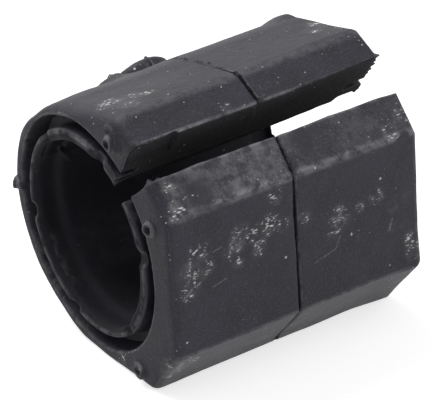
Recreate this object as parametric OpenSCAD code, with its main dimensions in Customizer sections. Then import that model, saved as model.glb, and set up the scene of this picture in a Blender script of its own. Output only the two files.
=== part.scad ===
// Split rubber bushing for a vehicle's sway bar, moulded in one piece.
// The bar runs along X. The flat front faces -Y and the round back faces +Y.
// Angles are measured about the bar's axis, from the flat front up towards +Z.

/* [Bore and end lips] */
// Diameter of the bore that holds the bar
bore_d = 33; // [28:0.1:37]
// Gap all round between the bar and the edge of each end lip
lip_gap = 0.1; // [0.05:0.05:0.6]
// Width of a lip's face, from its inner edge to its crest
lip_face = 2.4; // [1.8:0.1:3.2]
// Height of a lip's crest above the end face
lip_proud = 0.3; // [0.1:0.05:0.8]
// How far a lip's inner edge lies behind its crest
lip_dish = 0.7; // [0.4:0.05:1.2]
// Rounding of a lip's crest
lip_nose = 0.7; // [0.4:0.05:1]
// How much a lip's outer wall leans in towards the groove's floor
lip_lean = 0.2; // [0.1:0.05:0.4]
// Depth of the relief behind a lip, all round the bar
relief_depth = 1.1; // [0.5:0.1:1.6]
// Distance from the end face to the start of the plain bore
relief_length = 5.2; // [4.6:0.1:8]
// Width of the groove between a lip and the outer rim
groove_w = 2.9; // [2:0.1:4]
// Depth of that groove
groove_depth = 4; // [2.5:0.1:4.4]
// How much narrower the groove is at its floor
groove_taper = 0.7; // [0.2:0.1:1]
// Thickness of the outer rim at the bottom
rim_t = 1.3; // [1:0.1:3]

/* [Lip notches] */
// Number of notches round each lip
notch_count = 6; // [3:1:8]
// Angle of the first notch
notch_start = 9; // [5:1:14]
// Width of a notch
notch_w = 2.75; // [1.6:0.05:4]
// Depth of a notch
notch_depth = 1; // [0.5:0.05:1.4]
// Share of a notch's depth that its corners are rounded by
notch_round_share = 0.6; // [0.2:0.05:0.9]

/* [Outer shape] */
// Length along the bar
length = 50.8; // [40:0.1:70]
// Thickness from the bore to the flat front
front_t = 11.3; // [9.5:0.1:13]
// Thickness from the bore to the lower bevel
lower_bevel_t = 12.6; // [11.6:0.1:13.4]
// Direction that the lower bevel faces, below the front
lower_bevel_angle = 42.5; // [39:0.5:46]
// Thickness from the bore to the upper bevel
upper_bevel_t = 13.6; // [12.6:0.1:14.4]
// Direction that the upper bevel faces
upper_bevel_angle = 40.3; // [38:0.1:44]
// Thickness from the bore to the bevel on the sprung lobe
lobe_bevel_t = 13.5; // [12.6:0.1:14.4]
// Direction that the sprung lobe's bevel faces
lobe_bevel_angle = 60.7; // [58:0.1:64]
// How much further from the bar's axis the sprung lobe's top lies than the bottom
lobe_lift = 1.3; // [0.8:0.1:2]
// Direction that the sprung lobe's top faces
lobe_top_angle = 101; // [98:0.5:104]
// Direction in which the round back's centre is shifted, as the lobe springs open
back_shift_angle = 48; // [40:1:75]

/* [Slit] */
// Angle of the slit's lower wall
slit_angle = 40.3; // [38:0.1:43]
// Angle between the slit's two walls as the bushing springs open
slit_open = 12; // [9:0.5:13]

/* [Rounding] */
// Rounding of one end's edges on the bevel beside the slit and on the lobe
soft_round = 2.5; // [1:0.1:3.4]
// Rounding of the same edges at the other end
firm_round = 1; // [0.4:0.1:3.4]
// Rounding of the end edges at the bottom and on the lower bevel
foot_round = 1.3; // [0.4:0.1:2]
// Rounding of the end edges on the flat front
front_round = 0.5; // [0.3:0.1:1.5]
// Share of the rim's thickness that its outer edge is rounded by
rim_round_share = 0.5; // [0.3:0.05:0.8]
// Rounding of the long edge between the bottom and the lower bevel
foot_edge_round = 2; // [0.5:0.1:4]
// Rounding of the long edges of the flat front
front_edge_round = 0.8; // [0.3:0.1:2]
// Rounding of the long edge on top of the lobe
lobe_edge_round = 4.5; // [1:0.1:6]

/* [Mould marks] */
// Height of the parting ridge above the surface
ridge_h = 0.35; // [0.2:0.05:0.8]
// Thickness of the parting ridge
ridge_t = 0.5; // [0.3:0.05:1]
// Diameter of the vent pips on the end faces
pip_d = 2.4; // [1.4:0.1:3]
// Height of a vent pip
pip_h = 0.55; // [0.3:0.05:0.9]

/* [Locating lug] */
// Angle of the lug on the back
lug_angle = 144.5; // [135:0.5:200]
// Diameter of the lug
lug_d = 12; // [7:0.5:14]
// Height of the lug above the round back
lug_h = 2.6; // [2:0.1:7]
// Rounding of the lug's crown
lug_round = 1.6; // [0.5:0.1:2.5]

/* [Hidden] */
$fn = 96;
// Sides of a small round
small_fn = 32;
// Reach of a cut past the surface that it cuts
over = 2;
// How far a rounding of the outline stands proud of its sides, so that it meets them at a slight angle
outline_break = 0.012;
// The same for the rounding of an end edge
edge_break = 0.06;

// Radii about the bar's axis
bore_r = bore_d/2;
lip_edge_r = bore_r + lip_gap;
lip_crest_r = lip_edge_r + lip_face;
relief_r = bore_r + relief_depth;
groove_r = lip_crest_r + groove_w;
bottom_r = groove_r + rim_t;
rim_round = rim_t*rim_round_share;

// Straight sides of the outline, each as its direction and its distance from the axis
bottom = [-90, bottom_r];
lower_bevel = [-lower_bevel_angle, bore_r + lower_bevel_t];
front = [0, bore_r + front_t];
upper_bevel = [upper_bevel_angle, bore_r + upper_bevel_t];
lobe_bevel = [lobe_bevel_angle, bore_r + lobe_bevel_t];
lobe_top = [lobe_top_angle, bottom_r + lobe_lift];
slit_low = slit_angle;
slit_high = slit_angle + slit_open;

// The round back is one circle that touches the bottom and the lobe's top
back_shift = lobe_lift/(cos(lobe_top_angle - back_shift_angle) - cos(bottom[0] - back_shift_angle));
back_r = bottom_r - back_shift*cos(bottom[0] - back_shift_angle);
back_centre = back_shift*toward(back_shift_angle);

// Vent pips on each end face, as an angle and a distance outside the groove
PIPS = [[63.5, 2.7], [25, 1.7], [-54.8, 2.1], [178.5, 0.3]];

function toward(angle) = [cos(angle), sin(angle)];

// The point where two sides meet, when both are moved outwards by grow
function meet(a, b, grow = 0) =
    let (turn = sin(b[0] - a[0]), da = a[1] + grow, db = b[1] + grow)
    [(da*sin(b[0]) - db*sin(a[0]))/turn, (db*cos(a[0]) - da*cos(b[0]))/turn];

// The point of a side that lies at an angle about the axis
function reach(side, angle, grow = 0) = (side[1] + grow)/cos(angle - side[0])*toward(angle);

// The two ends of a rounded corner between sides a and b
function corner(a, b, r, grow) =
    let (centre = meet(a, b, -r))
    [centre + (r + grow)*toward(a[0]), centre + (r + grow)*toward(b[0])];

// The point just inside the round back that faces an angle
function touch(angle, grow = 0) = back_centre + (back_r + grow - outline_break)*toward(angle);

// How far past the round back's start a straight cut of depth r runs before it leaves the back
function run_out(r) = sqrt(2*back_r*r);

// Turns the outline's plane upright, so that its depth runs along the bar
module along_bar() rotate([90, 0, -90]) children();

module corner_disc(a, b, r, grow) translate(meet(a, b, -r)) circle(r + grow + outline_break);

module outline(grow = 0) {
    translate(back_centre) circle(back_r + grow);
    corner_disc(bottom, lower_bevel, foot_edge_round, grow);
    corner_disc(lower_bevel, front, front_edge_round, grow);
    corner_disc(front, upper_bevel, front_edge_round, grow);
    corner_disc(lobe_bevel, lobe_top, lobe_edge_round, grow);
    polygon(concat(
        [touch(bottom[0], grow)],
        corner(bottom, lower_bevel, foot_edge_round, grow),
        corner(lower_bevel, front, front_edge_round, grow),
        corner(front, upper_bevel, front_edge_round, grow),
        [reach(upper_bevel, slit_low, grow), reach(lobe_bevel, slit_high, grow)],
        corner(lobe_bevel, lobe_top, lobe_edge_round, grow),
        [touch(lobe_top_angle, grow)]
    ));
}

// Section of what rounding takes off an end edge, with the edge at the origin
module edge_section(r) {
    inset = r - edge_break;
    difference() {
        translate([-over, -r]) square([over + r, over + r]);
        translate([inset, -inset]) circle(r);
    }
}

module at_end(side) {
    mirror([0, 0, (1 - side)/2]) translate([0, 0, length/2]) children();
}

module at_both_ends() {
    for (side = [-1, 1]) at_end(side) children();
}

// Rounds the end edges along a straight side that runs from p to q, by r[0] and r[1] at the two ends
module round_side(p, q, r, before = over, after = over) {
    run = q - p;
    for (i = [0, 1])
        at_end(1 - 2*i)
            translate([p[0], p[1], 0])
                rotate(atan2(run[1], run[0]))
                    translate([-before, 0, 0])
                        rotate([90, 0, 90])
                            linear_extrude(norm(run) + before + after) edge_section(r[i]);
}

// Rounds the end edges along an arc of the outline
module round_arc(centre, arc_r, from, to, r) {
    at_both_ends()
        translate([centre[0], centre[1], 0])
            rotate(from)
                rotate_extrude(angle = to - from)
                    translate([arc_r, 0]) mirror([1, 0]) edge_section(r);
}

module end_rounding() {
    foot = meet(bottom, lower_bevel);
    low_edge = meet(lower_bevel, front);
    high_edge = meet(front, upper_bevel);
    lobe_edge = meet(lobe_bevel, lobe_top);
    ends = [soft_round, firm_round];
    round_side(touch(bottom[0]), foot, [foot_round, foot_round], before = run_out(foot_round));
    round_side(foot, low_edge, [foot_round, foot_round]);
    round_side(low_edge, high_edge, [front_round, front_round]);
    round_side(high_edge, reach(upper_bevel, slit_low), ends);
    round_side(reach(lobe_bevel, slit_high), lobe_edge, ends);
    round_side(lobe_edge, touch(lobe_top_angle), ends, after = run_out(max(ends)));
    round_arc(back_centre, back_r, lobe_top_angle, 360 + bottom[0], rim_round);
}

module end_groove() {
    at_both_ends()
        rotate_extrude()
            polygon([
                [0, over],
                [0, -groove_depth],
                [groove_r - groove_taper, -groove_depth],
                [groove_r, 0],
                [groove_r, over]
            ]);
}

// Section of a lip, with its crest rounded and its face dished towards the bar
module lip_section() {
    crest = lip_crest_r - lip_nose/2;
    root = -groove_depth - over;
    translate([crest, lip_proud - lip_nose]) circle(lip_nose, $fn = small_fn);
    polygon([
        [lip_edge_r, lip_proud - lip_dish],
        [crest, lip_proud],
        [crest + lip_nose, lip_proud - lip_nose],
        [crest + lip_nose - lip_lean, root],
        [lip_edge_r, root]
    ]);
}

module lips() {
    at_both_ends() rotate_extrude() lip_section();
}

// The bore, with a relief behind each lip
module bore() {
    plain = length/2 - relief_length;
    edge = length/2 + lip_proud - lip_dish;
    rotate_extrude()
        polygon([
            [0, -length/2 - over],
            [lip_edge_r, -length/2 - over],
            [lip_edge_r, -edge],
            [relief_r, relief_depth - edge],
            [relief_r, -plain - relief_depth],
            [bore_r, -plain],
            [bore_r, plain],
            [relief_r, plain + relief_depth],
            [relief_r, edge - relief_depth],
            [lip_edge_r, edge],
            [lip_edge_r, length/2 + over],
            [0, length/2 + over]
        ]);
}

// Section of a notch, with rounded corners at its floor
module notch_section() {
    round_r = notch_depth*notch_round_share;
    translate([-notch_w/2, round_r]) square([notch_w, over]);
    translate([round_r - notch_w/2, 0]) square([notch_w - 2*round_r, over]);
    for (side = [-1, 1])
        translate([side*(notch_w/2 - round_r), round_r]) circle(round_r, $fn = small_fn);
}

// Each notch cuts across a lip, from the bore to the groove
module notches() {
    inside = relief_depth;
    at_both_ends()
        for (i = [0:notch_count - 1])
            rotate(notch_start + i*360/notch_count)
                translate([lip_edge_r - inside, 0, lip_proud - notch_depth])
                    rotate([90, 0, 90])
                        linear_extrude(inside + lip_face + groove_w/2) notch_section();
}

module slit() {
    far = 2*front[1];
    linear_extrude(length + 2*over, center = true)
        polygon([[0, 0], far*toward(slit_low), far*toward(slit_high)]);
}

// A thin ridge all round the outline at the parting plane
module parting_ridge() {
    linear_extrude(ridge_t, center = true)
        difference() {
            outline(ridge_h);
            outline(-ridge_h);
        }
}

module pips() {
    ball_r = (pip_d*pip_d/4 + pip_h*pip_h)/(2*pip_h);
    at_both_ends()
        for (pip = PIPS)
            translate(concat((groove_r + pip[1])*toward(pip[0]), [pip_h - ball_r]))
                sphere(ball_r, $fn = small_fn);
}

module lug() {
    back = back_r + back_shift*cos(lug_angle - back_shift_angle);
    root = back - rim_t;
    height = back + lug_h - root;
    rotate([0, 90, lug_angle])
        translate([0, 0, root])
            rotate_extrude() {
                square([lug_d/2, height - lug_round]);
                square([lug_d/2 - lug_round, height]);
                translate([lug_d/2 - lug_round, height - lug_round]) circle(lug_round);
            }
}

module bushing() {
    color([0.16, 0.165, 0.18])
        along_bar()
            difference() {
                union() {
                    difference() {
                        union() {
                            linear_extrude(length, center = true) outline();
                            lug();
                        }
                        end_rounding();
                    }
                    parting_ridge();
                    pips();
                    lips();
                }
                difference() {
                    end_groove();
                    lips();
                }
                bore();
                notches();
                slit();
            }
}

bushing();
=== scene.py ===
"""Looks of a split rubber sway bar bushing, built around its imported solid.

Lengths in the sculpting and painting are in millimetres, and angles in degrees about the bar's axis,
from the flat front (-Y) up towards +Z. Everything placed in the scene is in metres.
"""

import bpy
import numpy as np
from mathutils import Matrix, Vector


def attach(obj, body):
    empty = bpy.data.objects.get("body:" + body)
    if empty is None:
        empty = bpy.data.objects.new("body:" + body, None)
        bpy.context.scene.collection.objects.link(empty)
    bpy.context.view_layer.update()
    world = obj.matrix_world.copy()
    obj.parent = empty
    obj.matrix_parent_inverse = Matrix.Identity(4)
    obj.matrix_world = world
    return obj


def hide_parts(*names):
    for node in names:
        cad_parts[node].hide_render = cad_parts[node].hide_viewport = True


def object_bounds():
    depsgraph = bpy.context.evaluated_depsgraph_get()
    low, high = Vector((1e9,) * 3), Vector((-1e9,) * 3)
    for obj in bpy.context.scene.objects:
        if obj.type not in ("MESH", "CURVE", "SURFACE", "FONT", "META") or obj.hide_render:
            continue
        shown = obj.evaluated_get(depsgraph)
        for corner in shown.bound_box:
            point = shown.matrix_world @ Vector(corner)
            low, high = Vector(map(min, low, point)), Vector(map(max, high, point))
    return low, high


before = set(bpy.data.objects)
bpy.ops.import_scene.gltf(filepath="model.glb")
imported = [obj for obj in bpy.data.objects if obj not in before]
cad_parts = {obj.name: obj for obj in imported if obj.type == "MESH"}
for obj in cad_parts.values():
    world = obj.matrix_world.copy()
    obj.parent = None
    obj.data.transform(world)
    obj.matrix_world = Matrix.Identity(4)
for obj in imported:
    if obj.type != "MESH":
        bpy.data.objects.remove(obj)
cad_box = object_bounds()

MM = 0.001
SEED = 7

# Sizes of the solid that the details are set by
HALF_LENGTH = 25.4
LIP_R = 19.0
LIP_DEPTH = 2.6
GROOVE_R = 21.9
SLIT_LOW = 40.3
SLIT_HIGH = 52.3
SLIT_MIDDLE = (SLIT_LOW + SLIT_HIGH)/2
LOBE_END = 100.0
LUG_ANGLE = 144.5
FOOT_ANGLE = -51.9
NEAR_PIPS = ((63.5, 24.6), (25.0, 24.6), (-54.8, 25.3), (178.5, 23.6))
UPPER_BEVEL = 40.3
LOWER_BEVEL = -42.5
LOBE_TOP = 101.0
PIP_R = 1.2
MM_PER_DEGREE = 0.42  # Round the skin

# Long edges painted pale, partly as wear and partly as a painted highlight along them, as (Y, Z, width,
# strength)
PALE_EDGES = (
    (-27.8, 13.8, 1.3, 1.0),  # Between the flat front and the upper bevel
    (-27.8, -12.7, 0.7, 0.7),  # Between the flat front and the lower bevel
    (-22.9, 19.5, 0.6, 0.9),  # The slit's lower edge
    (-18.3, 24.0, 0.6, 0.8),  # The slit's upper edge
    (-12.5, 27.4, 1.6, 0.35))  # Between the lobe's bevel and its top

# Torn points beside the slit at the far end, as (radius, reach, width)
TORN_POINTS = ((30.1, 0.8, 0.35), (28.6, 0.35, 0.25), (27.3, 0.7, 0.3), (25.7, 0.6, 0.3), (24.6, 0.3, 0.3),
               (21.6, 0.9, 0.35), (19.4, 0.3, 0.3))

# Bits of flash and torn rubber that stand off the skin, as (x, radius, angle, size, height)
FLASH_BITS = (
    (0.5, 30.2, 53.2, 0.5, 0.5), (1.9, 30.1, 53.6, 0.4, 0.4), (0.2, 29.6, -49, 0.45, 0.5),
    (-24.3, 28.0, SLIT_LOW, 0.7, 0.6), (-22.8, 28.4, SLIT_LOW, 0.5, 0.4),
    (0.5, 25.6, 84, 0.45, 0.6), (0.4, 24.8, 99, 0.45, 0.4))

VOXEL = 0.22
TRIANGLES = 190000
SCUFF_SPREAD = 1.3
FLOOR_GREY = 0.6
FLOOR_GLOW = 0.68

PHOTO_WIDTH = 432
FOCAL_PX = 2500
SENSOR = 36.0
CAMERA_AT = (-0.20848, -0.33533, 0.20957)
CAMERA_RIGHT = (0.8272, -0.5584, -0.0627)
CAMERA_UP = (0.3109, 0.3619, 0.8788)
CAMERA_BACK = (-0.468, -0.7465, 0.473)


def smooth(low, high, value):
    """0 below low, 1 above high, and a smooth step between them. low may be above high."""
    t = np.clip((value - low)/(high - low), 0, 1)
    return t*t*(3 - 2*t)


def bump(middle, width, value):
    """A bell of height 1 round the middle."""
    return np.exp(-((value - middle)/width)**2)


def between(value, *pairs):
    """Reads value off the straight lines between (value, result) pairs."""
    return np.interp(value, *zip(*pairs))


def polar(x, radius, angle):
    """The place at a distance along the bar, a radius and an angle about it."""
    turn = np.radians(angle)
    return np.array((x, -radius*np.cos(turn), radius*np.sin(turn)))


class Noise:
    """Smooth random values from -1 to 1 on a repeating lattice."""
    SIZE = 32

    def __init__(self, seed):
        self.lattice = np.random.RandomState(seed).uniform(-1, 1, (self.SIZE,)*3)

    def __call__(self, points, step):
        """The value at each point, where features are about step apart."""
        p = points/step
        cell = np.floor(p).astype(int)
        f = p - cell
        f = f*f*(3 - 2*f)
        value = np.zeros(len(p))
        for corner in np.ndindex(2, 2, 2):
            weight = np.prod(np.where(corner, f, 1 - f), axis=1)
            at = (cell + corner) % self.SIZE
            value += weight*self.lattice[at[:, 0], at[:, 1], at[:, 2]]
        return value


class Skin:
    """The rubber's surface as points in millimetres, with their place along and around the bar."""

    def __init__(self, mesh):
        self.mesh = mesh
        flat = np.empty(3*len(mesh.vertices))
        mesh.vertices.foreach_get("co", flat)
        self.points = flat.reshape(-1, 3).astype(float)
        mesh.vertices.foreach_get("normal", flat)
        self.normals = flat.reshape(-1, 3).copy()
        ends = np.empty(2*len(mesh.edges), dtype=int)
        mesh.edges.foreach_get("vertices", ends)
        self.edges = ends.reshape(-1, 2)

    @property
    def x(self):
        return self.points[:, 0]

    @property
    def radius(self):
        return np.hypot(self.points[:, 1], self.points[:, 2])

    @property
    def angle(self):
        return np.degrees(np.arctan2(self.points[:, 2], -self.points[:, 1]))

    @property
    def full_angle(self):
        """The angle from 0 to 360, for what reaches over the back."""
        return self.angle % 360

    def outward(self):
        """The direction away from the bar's axis at each point."""
        y, z = self.points[:, 1], self.points[:, 2]
        return np.stack([np.zeros(len(y)), y, z], 1)/self.radius[:, None]

    def distance(self, centre):
        return np.linalg.norm(self.points - centre, axis=1)

    def from_line(self, a, b):
        """Each point's distance from the line between two places."""
        along = b - a
        share = np.clip((self.points - a) @ along/(along @ along), 0, 1)
        return np.linalg.norm(self.points - a - share[:, None]*along, axis=1)

    def move(self, directions, amount):
        self.points += directions*np.reshape(amount, (-1, 1))

    def turn(self, degrees):
        """Turns each point about the bar's axis, up from the flat front, by its own angle."""
        radius, angle = self.radius, np.radians(self.angle + degrees)
        self.points[:, 1] = -radius*np.cos(angle)
        self.points[:, 2] = radius*np.sin(angle)

    def relax(self, weight, rounds):
        """Draws each point towards its neighbours, which rounds the edges."""
        a, b = self.edges[(weight[self.edges] > 0.01).any(1)].T
        size = len(self.points)
        count = np.maximum(np.bincount(a, minlength=size) + np.bincount(b, minlength=size), 1)
        for _ in range(rounds):
            for axis in range(3):
                value = self.points[:, axis]
                total = np.bincount(a, value[b], size) + np.bincount(b, value[a], size)
                self.points[:, axis] += 0.6*weight*(total/count - value)*(weight > 0.01)

    def write(self):
        self.mesh.vertices.foreach_set("co", self.points.ravel())
        self.mesh.update()


def at_near_end(skin, depth):
    return smooth(-HALF_LENGTH + depth, -HALF_LENGTH, skin.x)


def at_far_end(skin, depth):
    return smooth(HALF_LENGTH - depth, HALF_LENGTH, skin.x)


def round_lips(skin, noise):
    """The near lip's inner side falls away towards the bore like a bead's, over the back and below."""
    depth = np.clip(skin.x + HALF_LENGTH, 0, LIP_DEPTH)
    lowest = 17.2 + 1.2*(1 - depth/LIP_DEPTH)**2
    share = between(skin.full_angle, (118, 0), (140, 1), (285, 1), (320, 0))
    share = share*(skin.x < LIP_DEPTH - HALF_LENGTH)
    lift = np.maximum(lowest - skin.radius, 0)*smooth(LIP_R, LIP_R - 0.3, skin.radius)
    skin.move(skin.outward(), share*lift)


def soften_ends(skin, noise):
    """The moulding's near end is rounder than the solid's, and so are its lip and the cone behind it."""
    outer = smooth(GROOVE_R + 0.7, GROOVE_R + 2.2, skin.radius)*smooth(-20, -23.2, skin.x)
    inside = smooth(LIP_R + 0.5, LIP_R, skin.radius)
    lip = inside*smooth(-21.5, -23.5, skin.x)
    cone = inside*smooth(-17.5, -19, skin.x)
    away_from_slit = smooth(0.5, 2.5, np.abs(skin.angle - SLIT_MIDDLE) - (SLIT_HIGH - SLIT_LOW)/2)
    on_lobe = smooth(LOBE_END + 10, LOBE_END - 10, skin.angle)*(skin.angle > SLIT_MIDDLE)
    on_lobe = on_lobe*smooth(-18, -21, skin.x)
    skin.relax(outer*(0.3 + 0.7*away_from_slit), 60)
    above_groove = smooth(GROOVE_R + 0.5, GROOVE_R + 3, skin.radius)
    skin.relax(on_lobe*above_groove*smooth(10, 30, np.abs(skin.angle - SLIT_HIGH)), 130)
    skin.relax(np.maximum(0.7*lip, cone)*away_from_slit, 30)


def spring_lobe(skin, noise):
    """The slit's upper lobe twists a little along the bar, and its inner edge is sprung outwards."""
    along = skin.x/HALF_LENGTH
    above_slit = skin.angle > SLIT_MIDDLE
    on_lobe = smooth(LOBE_END, SLIT_HIGH, skin.angle)*above_slit
    skin.turn(on_lobe*np.where(along > 0, 1.6*along, 0.7*along))
    near_slit = smooth(79, SLIT_HIGH, skin.angle)*above_slit
    inner = smooth(25, 20, skin.radius)
    skin.move(skin.outward(), near_slit*inner*np.maximum(0.4, 1.2 + 0.6*along))


def settle_back(skin, noise):
    """The back sags at the near end's top and stands proud lower down, and the far end is a little longer."""
    outer = smooth(GROOVE_R, GROOVE_R + 0.8, skin.radius)
    rim = between(skin.full_angle, (88, 0), (105, -0.4), (132, -0.35), (148, 0.4), (160, 0.6), (185, 0.95),
                  (215, 0.9), (240, 0.2), (285, 0.7), (298, 0.5), (308, 0.2), (320, 0))
    skin.move(skin.outward(), outer*rim*at_near_end(skin, 9))
    below = at_far_end(skin, 10)*between(skin.angle, (-66, 0), (-54, 1), (-22, 1), (-12, 0))
    skin.move(skin.outward(), outer*(0.3*bump(FOOT_ANGLE, 6, skin.angle) + 0.5*below))
    over_top = smooth(72, 100, skin.angle)*smooth(150, 125, skin.angle)
    sag = between(skin.x, (-24, -0.55), (-10, -0.6), (0, -0.15), (18, 0.1), (25, 0.25))
    skin.move(skin.outward(), outer*over_top*sag)
    skin.points[:, 0] += 0.5*smooth(16, 25, skin.x)


def curl_far_rim(skin, noise):
    """The far end's thin rim curls out in one place over the back, and its lip leans into the bore."""
    over_back = smooth(104, 112, skin.angle)*smooth(150, 134, skin.angle)
    skin.move(skin.outward(), at_far_end(skin, 4)*over_back*smooth(21, 23, skin.radius)*0.7)
    behind = smooth(165, 185, skin.full_angle)*smooth(235, 215, skin.full_angle)
    skin.move(skin.outward(), -0.95*behind*at_far_end(skin, 2.6)*smooth(LIP_R - 0.8, LIP_R - 2, skin.radius))


def soften(skin, noise):
    """Moulded rubber is never quite flat: a slow unevenness, and a finer one."""
    slow = 0.08*noise(skin.points, 9) + 0.03*noise(skin.points + 40, 2.5)
    skin.move(skin.normals, slow + 0.012*noise(skin.points, 0.9))


def rag_slit(skin, noise):
    """The slit was cut by a knife: its edges wander, and the upper cut was made in two strokes."""
    outside = smooth(24, 28, skin.radius)
    high = bump(SLIT_HIGH, 1.4, skin.angle)
    low = bump(SLIT_LOW, 1.2, skin.angle)
    wander = 0.3*noise(skin.points*(1, 0.1, 0.1), 5) + 0.1*noise(skin.points*(1, 0.3, 0.3), 1.4)
    skin.turn(outside*(high + low)*wander)
    first_stroke = smooth(-16.1, -16.5, skin.x)*smooth(-27, -25, skin.x)
    skin.turn(1.0*first_stroke*bump(SLIT_HIGH, 2.2, skin.angle)*smooth(23, 27, skin.radius))


def tear_far_end(skin, noise):
    """The knife left small torn points where it came out of the lobe's far end."""
    beside = smooth(2.2, 0.6, np.abs(skin.angle - SLIT_HIGH - 1.2))*at_far_end(skin, 0.8)
    for radius, reach, width in TORN_POINTS:
        skin.points[:, 0] += reach*beside*bump(radius, width, skin.radius)


def rag_ridge(skin, noise):
    """The parting ridge is ragged flash, a little off the middle, with a crease along its near side."""
    outside = smooth(GROOVE_R + 0.4, GROOVE_R + 1, skin.radius)
    flash = smooth(0.32, 0.12, np.abs(skin.x - 0.42))
    ragged = noise(skin.points*(0.3, 1, 1), 1.7) + 0.7*noise(skin.points*(0.3, 1, 1) + 9, 0.7)
    on_lobe = smooth(SLIT_HIGH, 58, skin.angle)*smooth(150, 120, skin.angle)
    on_front = smooth(40, 30, np.abs(skin.angle))
    height = (0.1 + 0.12*on_lobe) + (0.06 + 0.3*on_lobe)*np.maximum(ragged, -0.4)
    skin.move(skin.outward(), outside*flash*height)
    skin.move(skin.outward(), -0.22*outside*on_front*bump(0, 0.5, skin.x))
    on_back = np.where(skin.angle > LOBE_END + 20, skin.radius, 0)
    off_lug = smooth(GROOVE_R + 4.2, GROOVE_R + 3.6, on_back)
    crease = bump(0.1, 0.34, skin.x)*off_lug
    skin.move(skin.outward(), -outside*crease*(0.75 + 0.1*ragged))
    skin.points[:, 0] += 0.2*outside*smooth(1.2, 0.3, np.abs(skin.x))*noise(skin.points*(0, 1, 1), 6)


def add_flash(skin, noise):
    """Bits of flash and torn rubber stand off the skin, and a flap hangs in the mouth of the bore."""
    for x, radius, angle, size, height in FLASH_BITS:
        rough = 1 + 0.8*noise(skin.points, 0.6)
        skin.move(skin.normals, height*rough*bump(0, size, skin.distance(polar(x, radius, angle))))
    flap = skin.from_line(polar(-21.2, 17.4, 144), polar(-18.9, 16.6, 156))
    skin.move(skin.normals, 0.5*bump(0, 0.4, flap))


def raise_lug(skin, noise):
    """A sloping web joins the lug's near side to the skin."""
    over = bump(0, 4.6, (skin.angle - LUG_ANGLE)*MM_PER_DEGREE)
    beside = bump(0, 4.8, (skin.angle - LUG_ANGLE + 5)*MM_PER_DEGREE)
    outside = smooth(23.2, 23.8, skin.radius)
    web = between(skin.x, (-13, 0), (-11, 0.9), (-8.2, 2.4), (-6.2, 3.1))*smooth(-5, -6.2, skin.x)
    skin.move(skin.outward(), beside*outside*web*(1 + 0.2*noise(skin.points, 1.5)))
    top = smooth(25.6, 26.4, skin.radius)*smooth(6.5, 5.5, np.abs(skin.x))
    skin.move(skin.outward(), over*top*(-0.35 + 0.2*noise(skin.points, 2.2)))


def cut_vents(skin, noise):
    """Each vent pip is a low disc with a hollow in it, and one has an arc beside it."""
    near = smooth(-18, -20, skin.x)
    for angle, radius in NEAR_PIPS:
        offset = skin.points - polar(0, radius, angle)
        far = np.hypot(offset[:, 1], offset[:, 2])
        hollow = np.hypot(offset[:, 1] + 0.45, 0.5*offset[:, 2])
        skin.points[:, 0] -= near*(0.65*smooth(1.5, 1.2, far) - 0.7*smooth(0.5, 0.2, hollow))
    offset = skin.points - polar(0, NEAR_PIPS[0][1], NEAR_PIPS[0][0])
    far = np.hypot(offset[:, 1], offset[:, 2])
    turn = np.degrees(np.arctan2(offset[:, 2], -offset[:, 1]))
    sweep = smooth(-25, 5, turn)*smooth(125, 95, turn)
    skin.points[:, 0] -= near*sweep*(0.5*bump(3.0, 0.35, far) - 0.35*bump(2.2, 0.45, far))


def tear_groove(skin, noise):
    """A low torn web lies in the near groove at its top."""
    turn = skin.full_angle
    in_groove = smooth(LIP_R + 0.1, LIP_R + 0.6, skin.radius)*smooth(GROOVE_R + 0.1, GROOVE_R - 0.5, skin.radius)
    on_floor = smooth(-18, -20, skin.x)*smooth(-25, -23.5, skin.x)
    web = smooth(98, 112, turn)*smooth(143, 126, turn)
    rough = 1 + 0.15*noise(skin.points, 1.3)
    skin.points[:, 0] -= in_groove*on_floor*rough*0.8*web


SCULPTING = (round_lips, soften_ends, tear_groove, cut_vents, spring_lobe, settle_back, curl_far_rim,
             raise_lug, soften, rag_slit, rag_ridge, add_flash, tear_far_end)


def apply_modifier(obj, kind, **settings):
    """Adds a modifier and keeps its result as the object's mesh."""
    modifier = obj.modifiers.new(kind, kind)
    for name, value in settings.items():
        setattr(modifier, name, value)
    evaluated = obj.evaluated_get(bpy.context.evaluated_depsgraph_get())
    mesh = bpy.data.meshes.new_from_object(evaluated)
    obj.modifiers.clear()
    obj.data = mesh


def rubber_body(source):
    """The solid's skin as an even mesh, sculpted and thinned where it is flat."""
    mesh = source.data.copy()
    mesh.transform(Matrix.Scale(1/MM, 4))
    obj = bpy.data.objects.new("bushing_rubber", mesh)
    bpy.context.scene.collection.objects.link(obj)
    apply_modifier(obj, "REMESH", mode="VOXEL", voxel_size=VOXEL, use_smooth_shade=True)
    skin = Skin(obj.data)
    noise = Noise(SEED)
    for step in SCULPTING:
        step(skin, noise)
    skin.write()
    faces = 2*len(obj.data.polygons)
    apply_modifier(obj, "DECIMATE", ratio=min(1, TRIANGLES/faces))
    obj.data.transform(Matrix.Scale(MM, 4))
    obj.data.shade_smooth()
    return obj


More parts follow.
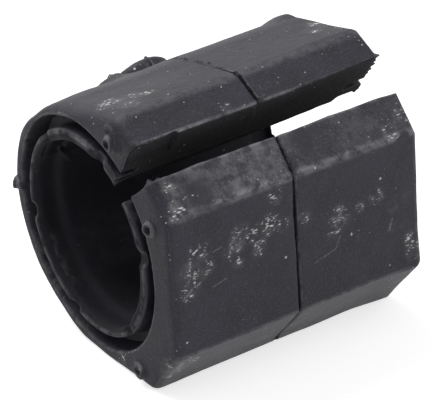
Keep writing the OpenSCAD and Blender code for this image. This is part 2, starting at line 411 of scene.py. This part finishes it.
# Scuffs with bright flecks of talc, as (X, Y, Z, radius)
SCUFFS = (
    (-19.8, -27.8, 6.6, 2.4), (-20.6, -27.8, 3.0, 2.8), (-21.8, -27.8, -0.4, 2.2),
    (-18.2, -27.8, 3.0, 1.8), (-23.5, -22.5, -18.5, 2.4), (-21.0, -25.0, -16.5, 2.2),
    (-9.8, -27.8, 5.8, 1.6), (-5.5, -27.8, 6.6, 2.4), (-11.4, -27.8, 7.2, 2.0),
    (-12.9, -27.8, 4.3, 2.1), (-12.4, -27.8, 1.6, 1.5), (-7.4, -27.8, 5.4, 2.2),
    (-7.6, -27.8, 2.4, 1.8), (-4.1, -27.8, 11.3, 1.9), (-2.4, -27.8, 5.1, 1.7),
    (1.9, -27.8, 4.8, 1.8), (8.9, -27.8, 2.9, 2.5), (7.6, -27.8, 0.2, 1.6), (13.4, -27.8, 3.0, 1.2),
    (17.0, -27.8, 4.0, 1.9), (24.6, -27.6, -9.3, 2.2), (23.6, -27.8, -6.8, 1.6),
    (-20.3, -4.2, 25.6, 2.4), (-19.6, -8.9, 26.5, 2.2), (-22.3, -5.5, 25.8, 1.8),
    (-16.4, -5.0, 25.8, 1.8), (-14.2, -6.4, 26.0, 1.6), (-22.8, -27.0, 14.5, 2.2),
    (-22.4, -24.5, 17.4, 1.6), (-19.8, -26.3, 15.5, 1.3), (24.4, -25.5, 16.2, 2.8),
    (21.0, -27.0, 14.6, 2.0), (-24.6, -25.0, -15.8, 2.4), (-22.0, -26.0, -14.8, 1.8),
    (24.6, -1.0, 25.2, 2.2), (25.2, -7.7, 26.4, 1.6), (22.0, -5.0, 25.9, 1.4),
    (-6.0, -17.3, 24.7, 1.2), (-25.4, -8.5, -21.4, 1.7), (-25.4, 12.8, -15.5, 1.2))

# Smooth pale smears, as (X, Y, Z, radius)
SMEARS = (
    (20.2, -27.8, -3.3, 1.5), (-11.6, -27.8, 5.2, 3.0), (9.0, -27.8, 1.8, 3.0),
    (-21.6, -27.8, 2.6, 4.0), (-10.5, -26.0, 15.9, 4.5), (-4.5, -25.5, 16.8, 5.0),
    (15.0, -25.2, 17.0, 7.0), (-18.5, -6.0, 26.0, 5.5), (-23.0, -25.5, -15.3, 3.0),
    (23.0, -4.0, 25.8, 4.0), (-25.0, 7.0, 16.6, 4.5), (-25.0, -2.0, 18.0, 4.0),
    (20.5, -27.8, 0.6, 1.8), (23.6, -27.8, 1.6, 1.8), (-23.0, -23.5, -17.5, 4.5),
    (-25.0, 20.5, 12.0, 4.0), (-25.0, -14.0, -22.0, 4.0))

# Dark clean patches, as (X, Y, Z, radius)
CLEAN = ((-17.7, -26.2, 15.7, 4.2), (4.6, -24.2, 17.8, 3.0), (-25.4, -22.0, -4.0, 3.0))

# Scratches and curls, as the two ends and a width
SCRATCHES = (
    ((-17.0, -27.8, 5.3), (-15.3, -27.8, 5.7), 0.22),
    ((-17.5, -27.8, -1.3), (-14.6, -27.8, -0.6), 0.2),
    ((3.5, -27.8, -4.4), (8.0, -27.8, -3.2), 0.22), ((8.0, -27.8, -3.2), (9.0, -27.8, -1.0), 0.2),
    ((19.5, -27.8, -3.8), (20.3, -27.8, -1.6), 0.3),
    ((-13.2, -27.8, 5.6), (-10.9, -27.8, 7.4), 0.45), ((8.0, -27.8, 1.4), (9.8, -27.8, 4.4), 0.45),
    ((-23.4, -27.8, -1.6), (-21.6, -27.8, -0.2), 0.35), ((15.0, 8.3, 22.9), (11.4, 2.6, 24.1), 0.3),
    ((11.4, 2.6, 24.1), (7.9, -0.5, 24.8), 0.25))


def axis_direction(angle):
    turn = np.radians(angle)
    return (0.0, float(-np.cos(turn)), float(np.sin(turn)))


class Paint:
    """Builds a material's nodes, with the object's own coordinates in millimetres."""

    def __init__(self, name):
        self.material = bpy.data.materials.new(name)
        self.material.use_nodes = True
        self.tree = self.material.node_tree
        self.tree.nodes.clear()
        self.output = self.add("ShaderNodeOutputMaterial")
        place = self.add("ShaderNodeTexCoord").outputs["Object"]
        self.place = self.vector("SCALE", place, scale=1/MM)
        self.across = self.vector("MULTIPLY", self.place, (0, 1, 1))
        self.normal = self.add("ShaderNodeNewGeometry").outputs["Normal"]

    def add(self, kind, **settings):
        node = self.tree.nodes.new(kind)
        for name, value in settings.items():
            setattr(node, name, value)
        return node

    def put(self, socket, value):
        """Sets a socket to a constant, or links it to another node's output."""
        if isinstance(value, bpy.types.NodeSocket):
            self.tree.links.new(value, socket)
        else:
            socket.default_value = value

    def vector(self, operation, a, b=None, scale=None):
        node = self.add("ShaderNodeVectorMath", operation=operation)
        self.put(node.inputs[0], a)
        if b is not None:
            self.put(node.inputs[1], b)
        if scale is not None:
            self.put(node.inputs["Scale"], scale)
        return node.outputs["Value" if operation in ("LENGTH", "DISTANCE", "DOT_PRODUCT") else "Vector"]

    def math(self, operation, a, b=None, c=None, clamp=False):
        node = self.add("ShaderNodeMath", operation=operation, use_clamp=clamp)
        for socket, value in zip(node.inputs, (a, b, c)):
            if value is not None:
                self.put(socket, value)
        return node.outputs[0]

    def sum(self, terms):
        total = terms[0]
        for term in terms[1:]:
            total = self.math("ADD", total, term)
        return total

    def times(self, *terms):
        total = terms[0]
        for term in terms[1:]:
            total = self.math("MULTIPLY", total, term)
        return total

    def most(self, terms):
        total = terms[0]
        for term in terms[1:]:
            total = self.math("MAXIMUM", total, term)
        return total

    def capped(self, terms, limit=1.0):
        """The terms' sum, but no more than a limit."""
        return self.math("MINIMUM", self.sum(terms), limit)

    def step(self, value, low, high):
        """0 where value is at low, 1 where it is at high, with a smooth step between them."""
        node = self.add("ShaderNodeMapRange", interpolation_type="SMOOTHSTEP")
        self.put(node.inputs["Value"], value)
        self.put(node.inputs["From Min"], low)
        self.put(node.inputs["From Max"], high)
        return node.outputs["Result"]

    def band(self, value, middle, outer, inner):
        """1 where value is within inner of the middle, and 0 beyond outer."""
        off = self.math("ABSOLUTE", self.math("SUBTRACT", value, middle))
        return self.step(off, outer, inner)

    def noise(self, size, detail=3.0, rough=0.55, place=None, shift=0.0):
        """Noise from 0 to 1 with features about size millimetres apart."""
        place = place or self.place
        if shift:
            place = self.vector("ADD", place, (shift,)*3)
        node = self.add("ShaderNodeTexNoise")
        self.put(node.inputs["Vector"], place)
        self.put(node.inputs["Scale"], 1/size)
        self.put(node.inputs["Detail"], detail)
        self.put(node.inputs["Roughness"], rough)
        return node.outputs["Fac"]

    def mix(self, a, b, factor):
        node = self.add("ShaderNodeMix", data_type="RGBA")
        self.put(node.inputs["Factor"], factor)
        for socket in node.inputs:
            if socket.type == "RGBA" and socket.name == "A":
                self.put(socket, a)
            if socket.type == "RGBA" and socket.name == "B":
                self.put(socket, b)
        return [out for out in node.outputs if out.type == "RGBA"][0]

    def spot(self, x, y, z, radius):
        """1 in the middle of a round patch, and 0 beyond its radius."""
        return self.step(self.vector("DISTANCE", self.place, (x, y, z)), radius, 0.3*radius)

    def stroke(self, a, b, width):
        """1 along the line between two places, and 0 beyond its width."""
        a, b = np.array(a), np.array(b)
        along = b - a
        from_a = self.vector("SUBTRACT", self.place, tuple(a))
        share = self.vector("DOT_PRODUCT", from_a, tuple(along/(along @ along)))
        share = self.math("ADD", share, 0.0, clamp=True)
        nearest = self.vector("ADD", self.vector("SCALE", tuple(along), scale=share), tuple(a))
        return self.step(self.vector("DISTANCE", self.place, nearest), width, 0.3*width)

    def edge(self, y, z, width):
        """1 along a long edge that runs with the bar, and 0 beyond its width."""
        return self.step(self.vector("DISTANCE", self.across, (0, y, z)), width, 0.2*width)

    def facing(self, angle, low=0.93, high=0.995):
        """1 where the skin faces the way of an angle about the bar."""
        return self.step(self.vector("DOT_PRODUCT", self.normal, axis_direction(angle)), low, high)


def grey(level, blue=1.0):
    return (level, level, level*blue, 1)


def specks(paint, spacing, size, share, shift):
    """Grains of talc: dots in a random share of cells that are spacing millimetres wide."""
    node = paint.add("ShaderNodeTexVoronoi", feature="F1")
    paint.put(node.inputs["Vector"], paint.vector("ADD", paint.place, (shift,)*3))
    paint.put(node.inputs["Scale"], 1/spacing)
    dot = paint.step(node.outputs["Distance"], size/spacing, 0.5*size/spacing)
    split = paint.add("ShaderNodeSeparateColor")
    paint.put(split.inputs[0], node.outputs["Color"])
    chosen = paint.math("LESS_THAN", split.outputs[0], share)
    return paint.times(dot, chosen, split.outputs[1])


def slanting(paint):
    """The place in coordinates in which flecks that lean up along the bar are round."""
    node = paint.add("ShaderNodeMapping")
    paint.put(node.inputs["Vector"], paint.place)
    paint.put(node.inputs["Rotation"], (0.0, 0.9, 0.0))
    paint.put(node.inputs["Scale"], (0.5, 1.0, 1.35))
    return node.outputs["Vector"]


def pip_masks(paint, x):
    """The vent pips' rings, painted pale as a highlight on their rims, and their hollows, painted dark as shade,
    at the near end.
    """
    rings, hollows = [], []
    for angle, radius in NEAR_PIPS:
        away = paint.vector("DISTANCE", paint.across, tuple(polar(0, radius, angle)))
        # Painted highlight: a pale ring on each pip's rim.
        rings.append(paint.band(away, PIP_R, 0.35, 0.1))
        # Painted shade in each pip's hollow.
        hollows.append(paint.step(away, 0.7, 0.35))
    near_face = paint.step(x, -20, -22)
    return paint.times(paint.sum(rings), near_face), paint.times(paint.sum(hollows), near_face)


def wear_and_highlights(paint, x, radius, outside, ring, cloud):
    """Where the skin is painted pale: long edges and the ends' edges, partly wear and partly painted highlight;
    the pips' rims and the parting flash, as painted highlight.
    """
    near_end = paint.step(x, 0, -10)
    # The lip's crest painted pale, partly as dusty rubber and partly as a painted highlight along it.
    crest = paint.band(radius, LIP_R - 0.35, 0.6, 0.1)
    crest = paint.times(crest, paint.math("MULTIPLY_ADD", near_end, 0.55, 0.25))
    rim = paint.times(paint.band(radius, GROOVE_R + 0.1, 0.4, 0.1), 0.5)
    at_end = paint.step(paint.math("ABSOLUTE", x), HALF_LENGTH - 0.9, HALF_LENGTH - 0.3)
    far_edge = paint.times(paint.step(x, HALF_LENGTH - 0.4, HALF_LENGTH + 0.4), outside, 0.6)
    edges = [paint.times(paint.edge(y, z, width), strength) for y, z, width, strength in PALE_EDGES]
    rubbed_and_highlit = paint.sum(edges + [paint.times(at_end, paint.math("ADD", crest, rim)), far_edge])
    # A painted highlight: a thin pale line along the parting flash's crest.
    flash = paint.times(paint.band(x, 0.5, 0.24, 0.08), outside)
    return paint.sum([paint.times(rubbed_and_highlit, paint.step(cloud, 0.3, 0.65)), paint.times(ring, 0.7),
                      paint.times(flash, 0.4, paint.step(cloud, 0.4, 0.6))])


def rubber_material():
    """Black rubber, bluish where clean and grey where dusty, with talc in its scuffs; painted shade darkens the
    bore, the parting crease, the pips' hollows, the slit's cut wall and the end faces, and painted highlights
    run along the long edges (which also wear pale), the lip's crest (also dusty), the pips' rims and the parting
    flash.
    """
    paint = Paint("moulded_rubber")
    radius = paint.vector("LENGTH", paint.across)
    axes = paint.add("ShaderNodeSeparateXYZ")
    paint.put(axes.inputs[0], paint.place)
    x, y, z = axes.outputs
    outside = paint.step(radius, 21, 22.5)
    inside = paint.step(radius, 19.3, 18.6)
    # The slit's upper cut wall and the end faces, both darkened below as painted shade.
    cut = paint.times(paint.facing(SLIT_HIGH - 90, 0.85, 0.97), paint.step(z, 8, 10))
    end_face = paint.step(paint.vector("DOT_PRODUCT", paint.normal, (-1.0, 0.0, 0.0)), 0.75, 0.97)
    upper, top = paint.facing(UPPER_BEVEL), paint.facing(LOBE_TOP, 0.95, 0.995)
    under = paint.facing(LOWER_BEVEL)
    near_half = paint.step(x, 9.0, -5.0)

    blotch = paint.noise(6, detail=4)
    cloud = paint.noise(2.2, detail=4, rough=0.65, shift=5)
    patch = paint.step(paint.noise(1.6, detail=2, rough=0.6, shift=21), 0.4, 0.6)
    grain = paint.noise(0.36, detail=2, rough=0.7, shift=9)
    flecks = paint.noise(0.42, detail=2, rough=0.6, place=slanting(paint))

    scuff = paint.capped([paint.spot(a, b, c, SCUFF_SPREAD*r) for a, b, c, r in SCUFFS])
    scuff = paint.times(scuff, paint.math("MULTIPLY_ADD", patch, 0.7, 0.3))
    smear = paint.capped([paint.spot(*place) for place in SMEARS])
    clean = paint.sum([paint.spot(*place) for place in CLEAN])
    scratch = paint.most([paint.stroke(*line) for line in SCRATCHES])
    ring, hollow = pip_masks(paint, x)
    wear_and_highlight = wear_and_highlights(paint, x, radius, outside, ring, cloud)

    # Dusty grey, which also carries the painted highlights along edges, the lip's crest, the pips' rims and the
    # parting flash.
    dust_and_highlight = paint.sum([
        paint.times(upper, paint.math("MULTIPLY_ADD", near_half, 0.16, 0.03), paint.step(cloud, 0.35, 0.7)),
        paint.times(top, 0.012), paint.times(under, 0.065),
        paint.times(smear, 0.08, paint.step(cloud, 0.3, 0.7)),
        paint.times(scuff, 0.12, paint.step(cloud, 0.35, 0.6)),
        paint.times(wear_and_highlight, 0.3), paint.times(scratch, 0.22, paint.step(grain, 0.3, 0.6)),
        paint.times(outside, paint.step(grain, 0.45, 0.8), paint.math("MULTIPLY_ADD", upper, 0.06, 0.07))])
    deep = paint.times(inside, paint.step(paint.math("ABSOLUTE", x), 24.4, 22.5))
    wiped = paint.capped([paint.times(clean, 0.8), paint.times(deep, 0.9)])
    dust_and_highlight = paint.times(dust_and_highlight, paint.math("SUBTRACT", 1.0, wiped))
    fleck = paint.step(paint.sum([flecks, paint.times(scuff, 0.22), paint.times(wear_and_highlight, 0.06)]), 0.72, 0.86)
    talc = paint.capped([specks(paint, 3.4, 0.3, 0.25, 3), specks(paint, 1.3, 0.15, 0.5, 11), fleck], 0.95)
    talc = paint.times(talc, paint.math("MULTIPLY_ADD", outside, 0.85, 0.15))

    # Painted shade in the crease along the parting ridge's near side, kept off the lug.
    off_lug = paint.math("MAXIMUM", paint.step(y, 10.0, 8.0), paint.step(radius, 25.6, 25.2))
    parting = paint.times(paint.band(x, 0.12, 0.3, 0.12), outside, off_lug)
    # Painted shade: near-black colour, less specular and rougher, inside the bore, in the parting crease, in the
    # pips' hollows, on the slit's cut wall and on the end faces, where shade falls.
    painted_shade = paint.capped([paint.times(inside, 0.5), paint.times(parting, 0.85), paint.times(hollow, 0.7),
                           paint.times(cut, 0.9), paint.times(end_face, 0.25)], 0.9)

    colour = paint.mix(grey(0.0095, 1.65), grey(0.0185, 1.6), paint.step(blotch, 0.3, 0.7))
    # Mixes in the painted shade's near-black.
    colour = paint.mix(colour, grey(0.002, 1.3), painted_shade)
    colour = paint.mix(colour, grey(0.5, 1.05), paint.math("ADD", dust_and_highlight, 0.0, clamp=True))
    colour = paint.mix(colour, grey(0.75), talc)
    shader = paint.add("ShaderNodeBsdfPrincipled")
    paint.put(shader.inputs["Base Color"], colour)
    paint.put(shader.inputs["Specular IOR Level"], paint.math("MULTIPLY_ADD", painted_shade, -0.2, 0.34))
    rough = paint.sum([0.42, paint.times(blotch, 0.12), paint.times(cloud, 0.12), paint.times(wear_and_highlight, 0.2),
                       paint.times(painted_shade, 0.45)])
    paint.put(shader.inputs["Roughness"], rough)
    relief = paint.add("ShaderNodeBump")
    paint.put(relief.inputs["Strength"], 0.6)
    paint.put(relief.inputs["Distance"], 0.16*MM)
    paint.put(relief.inputs["Height"], paint.sum([grain, paint.times(cloud, 1.6), paint.times(talc, 0.5)]))
    paint.put(shader.inputs["Normal"], relief.outputs["Normal"])
    paint.put(paint.output.inputs["Surface"], shader.outputs["BSDF"])
    return paint.material


def floor_material():
    """A pale floor that shows white to the camera and in reflections, and keeps the object's shadow."""
    paint = Paint("pale_floor")
    plain = paint.add("ShaderNodeBsdfDiffuse")
    paint.put(plain.inputs["Color"], grey(FLOOR_GREY))
    glow = paint.add("ShaderNodeEmission")
    rays = paint.add("ShaderNodeLightPath").outputs
    seen = paint.sum([rays["Is Camera Ray"], rays["Is Glossy Ray"], rays["Is Transmission Ray"]])
    paint.put(glow.inputs["Strength"], paint.times(seen, FLOOR_GLOW))
    both = paint.add("ShaderNodeAddShader")
    paint.put(both.inputs[0], plain.outputs[0])
    paint.put(both.inputs[1], glow.outputs[0])
    paint.put(paint.output.inputs["Surface"], both.outputs[0])
    return paint.material


def make_floor(level):
    """A wide plane under the object, for the picture only."""
    size = 3.0
    corners = [(-size, -size, level), (size, -size, level), (size, size, level), (-size, size, level)]
    mesh = bpy.data.meshes.new("floor")
    mesh.from_pydata(corners, [], [(0, 1, 2, 3)])
    floor = bpy.data.objects.new("floor", mesh)
    bpy.context.scene.collection.objects.link(floor)
    mesh.materials.append(floor_material())


def add_softbox(name, at, width, height, watts):
    """A lamp with a rectangular face that looks at the object."""
    light = bpy.data.lights.new(name, "AREA")
    light.shape = "RECTANGLE"
    light.size = width
    light.size_y = height
    light.energy = watts
    obj = bpy.data.objects.new(name, light)
    obj.location = at
    obj.rotation_euler = (-Vector(at)).to_track_quat("-Z", "Y").to_euler()
    bpy.context.scene.collection.objects.link(obj)


def light_the_scene():
    """An even pale surrounding, white in reflections, and two large soft lamps."""
    world = bpy.data.worlds.new("studio")
    bpy.context.scene.world = world
    world.use_nodes = True
    tree = world.node_tree
    tree.nodes.clear()
    output = tree.nodes.new("ShaderNodeOutputWorld")
    ambient = tree.nodes.new("ShaderNodeBackground")
    ambient.inputs["Strength"].default_value = 0.6
    white = tree.nodes.new("ShaderNodeBackground")
    white.inputs["Strength"].default_value = 1.0
    rays = tree.nodes.new("ShaderNodeLightPath")
    either = tree.nodes.new("ShaderNodeMath")
    either.operation = "MAXIMUM"
    tree.links.new(rays.outputs["Is Camera Ray"], either.inputs[0])
    tree.links.new(rays.outputs["Is Glossy Ray"], either.inputs[1])
    mix = tree.nodes.new("ShaderNodeMixShader")
    tree.links.new(either.outputs[0], mix.inputs["Fac"])
    tree.links.new(ambient.outputs[0], mix.inputs[1])
    tree.links.new(white.outputs[0], mix.inputs[2])
    tree.links.new(mix.outputs[0], output.inputs["Surface"])
    add_softbox("top_softbox", (-0.15, 0.45, 0.65), 0.5, 0.5, 4.5)
    add_softbox("key_softbox", (0.35, -0.44, 0.5), 0.35, 0.35, 1.2)


def make_camera():
    """The camera that the photo's outline and bore were fitted with."""
    camera = bpy.data.cameras.new("photo_camera")
    camera.sensor_fit = "HORIZONTAL"
    camera.sensor_width = SENSOR
    camera.lens = SENSOR*FOCAL_PX/PHOTO_WIDTH
    obj = bpy.data.objects.new("photo_camera", camera)
    turn = Matrix((CAMERA_RIGHT, CAMERA_UP, CAMERA_BACK)).transposed()
    obj.matrix_world = Matrix.Translation(CAMERA_AT) @ turn.to_4x4()
    bpy.context.scene.collection.objects.link(obj)
    bpy.context.scene.camera = obj


def dress_bushing():
    """The bushing's visible skin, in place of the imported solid."""
    body = rubber_body(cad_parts["bushing"])
    body.data.materials.clear()
    body.data.materials.append(rubber_material())
    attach(body, "root")
    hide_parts("bushing")


make_camera()
dress_bushing()
make_floor(cad_box[0][2])
light_the_scene()
bpy.context.scene.view_settings.view_transform = "Standard"
